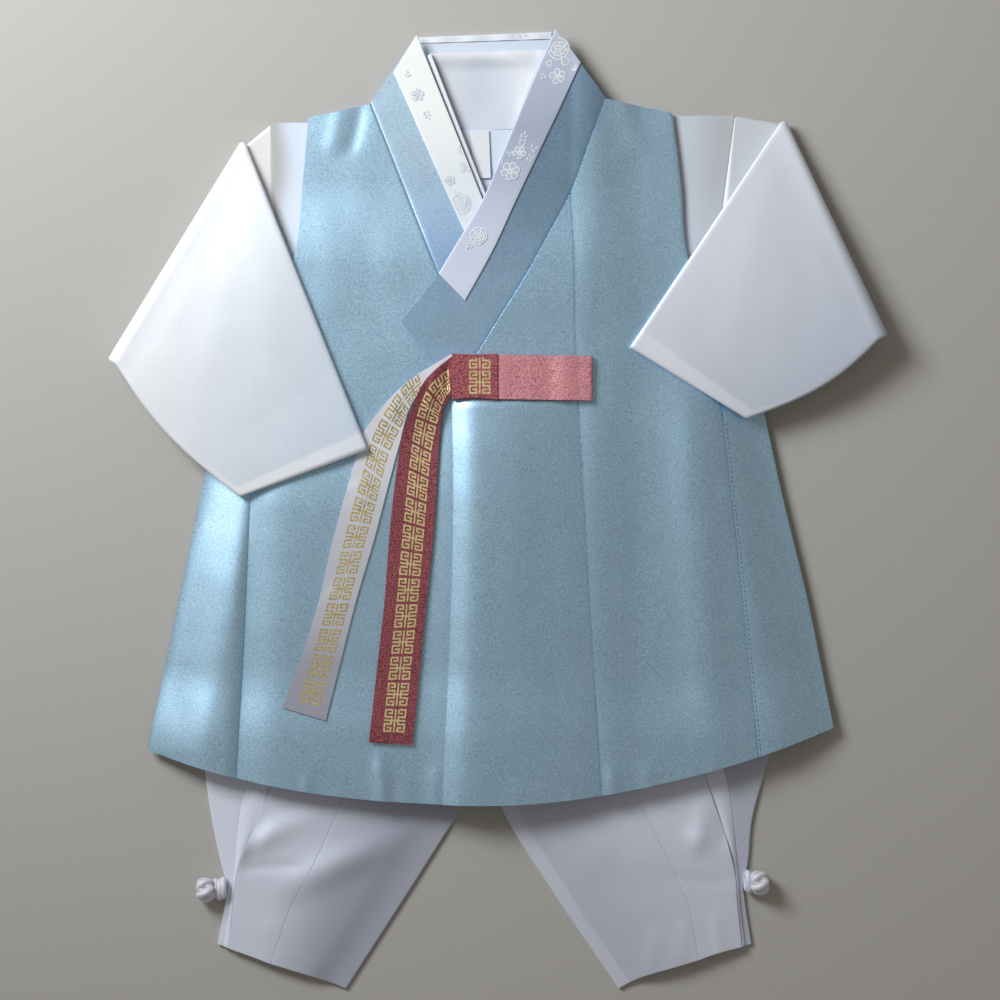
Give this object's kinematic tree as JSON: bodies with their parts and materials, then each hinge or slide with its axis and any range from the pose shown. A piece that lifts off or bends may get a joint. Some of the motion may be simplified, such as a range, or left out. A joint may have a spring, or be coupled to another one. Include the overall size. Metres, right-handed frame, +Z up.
{
  "type": "baby boy's korean hanbok set, laid flat",
  "caption": "Boy's hanbok laid flat: white trousers and jacket, flared pale blue vest with crossed collar and white collar strip, rose and silver tie, sleeves folded over the front.",
  "frame": {"origin": "centre of the set's outline, on the surface that it lies on", "axes": "+Y from the ankles to the collar, +X to the right of someone looking down at the set, +Z up from the surface"},
  "size_m": [0.505, 0.624, 0.0258],
  "materials": {
    "vest_crepe": "pale blue crepe satin with a fine grain and a soft sheen",
    "white_silk": "white slubbed silk, matt with a faint sheen",
    "sheer_silk": "thinner white silk, slightly see-through",
    "white_brocade": "white satin with shiny woven flowers",
    "trouser_cotton": "smooth off-white cloth, matt",
    "knot_cord": "white satin cord",
    "rose_ribbon": "rose ribbon with gold printed frets",
    "silver_ribbon": "silver-lavender satin ribbon with gold printed frets",
    "label_ribbon": "bare woven label"
  },
  "bodies": {
    "root": {"jacket_back": "sheer_silk", "jacket_collar_back": "white_silk", "jacket_collar_left": "white_silk", "jacket_collar_right": "white_silk", "jacket_over_front": "sheer_silk", "jacket_sleeve_left": "white_silk", "jacket_sleeve_right": "white_silk", "jacket_under_front": "sheer_silk", "neck_label": "label_ribbon", "tie_knot": "rose_ribbon", "tie_loop": "rose_ribbon", "tie_tail_pink": "rose_ribbon", "tie_tail_silver": "silver_ribbon", "trouser_left_back": "trouser_cotton", "trouser_left_front_inner": "trouser_cotton", "trouser_left_front_outer": "trouser_cotton", "trouser_left_knot": "knot_cord", "trouser_left_loop": "knot_cord", "trouser_left_outer": "trouser_cotton", "trouser_left_pleat": "trouser_cotton", "trouser_right_back": "trouser_cotton", "trouser_right_front_inner": "trouser_cotton", "trouser_right_front_outer": "trouser_cotton", "trouser_right_knot": "knot_cord", "trouser_right_loop": "knot_cord", "trouser_right_outer": "trouser_cotton", "trouser_right_pleat": "trouser_cotton", "vest_back": "vest_crepe", "vest_back_side_left": "vest_crepe", "vest_back_side_right": "vest_crepe", "vest_collar_back": "vest_crepe", "vest_collar_left": "vest_crepe", "vest_collar_right": "vest_crepe", "vest_over_front": "vest_crepe", "vest_over_side": "vest_crepe", "vest_overlap": "vest_crepe", "vest_strip_back": "white_brocade", "vest_strip_left": "white_brocade", "vest_strip_right": "white_brocade", "vest_under_front": "vest_crepe", "vest_under_side": "vest_crepe"}
  },
  "joints": []
}
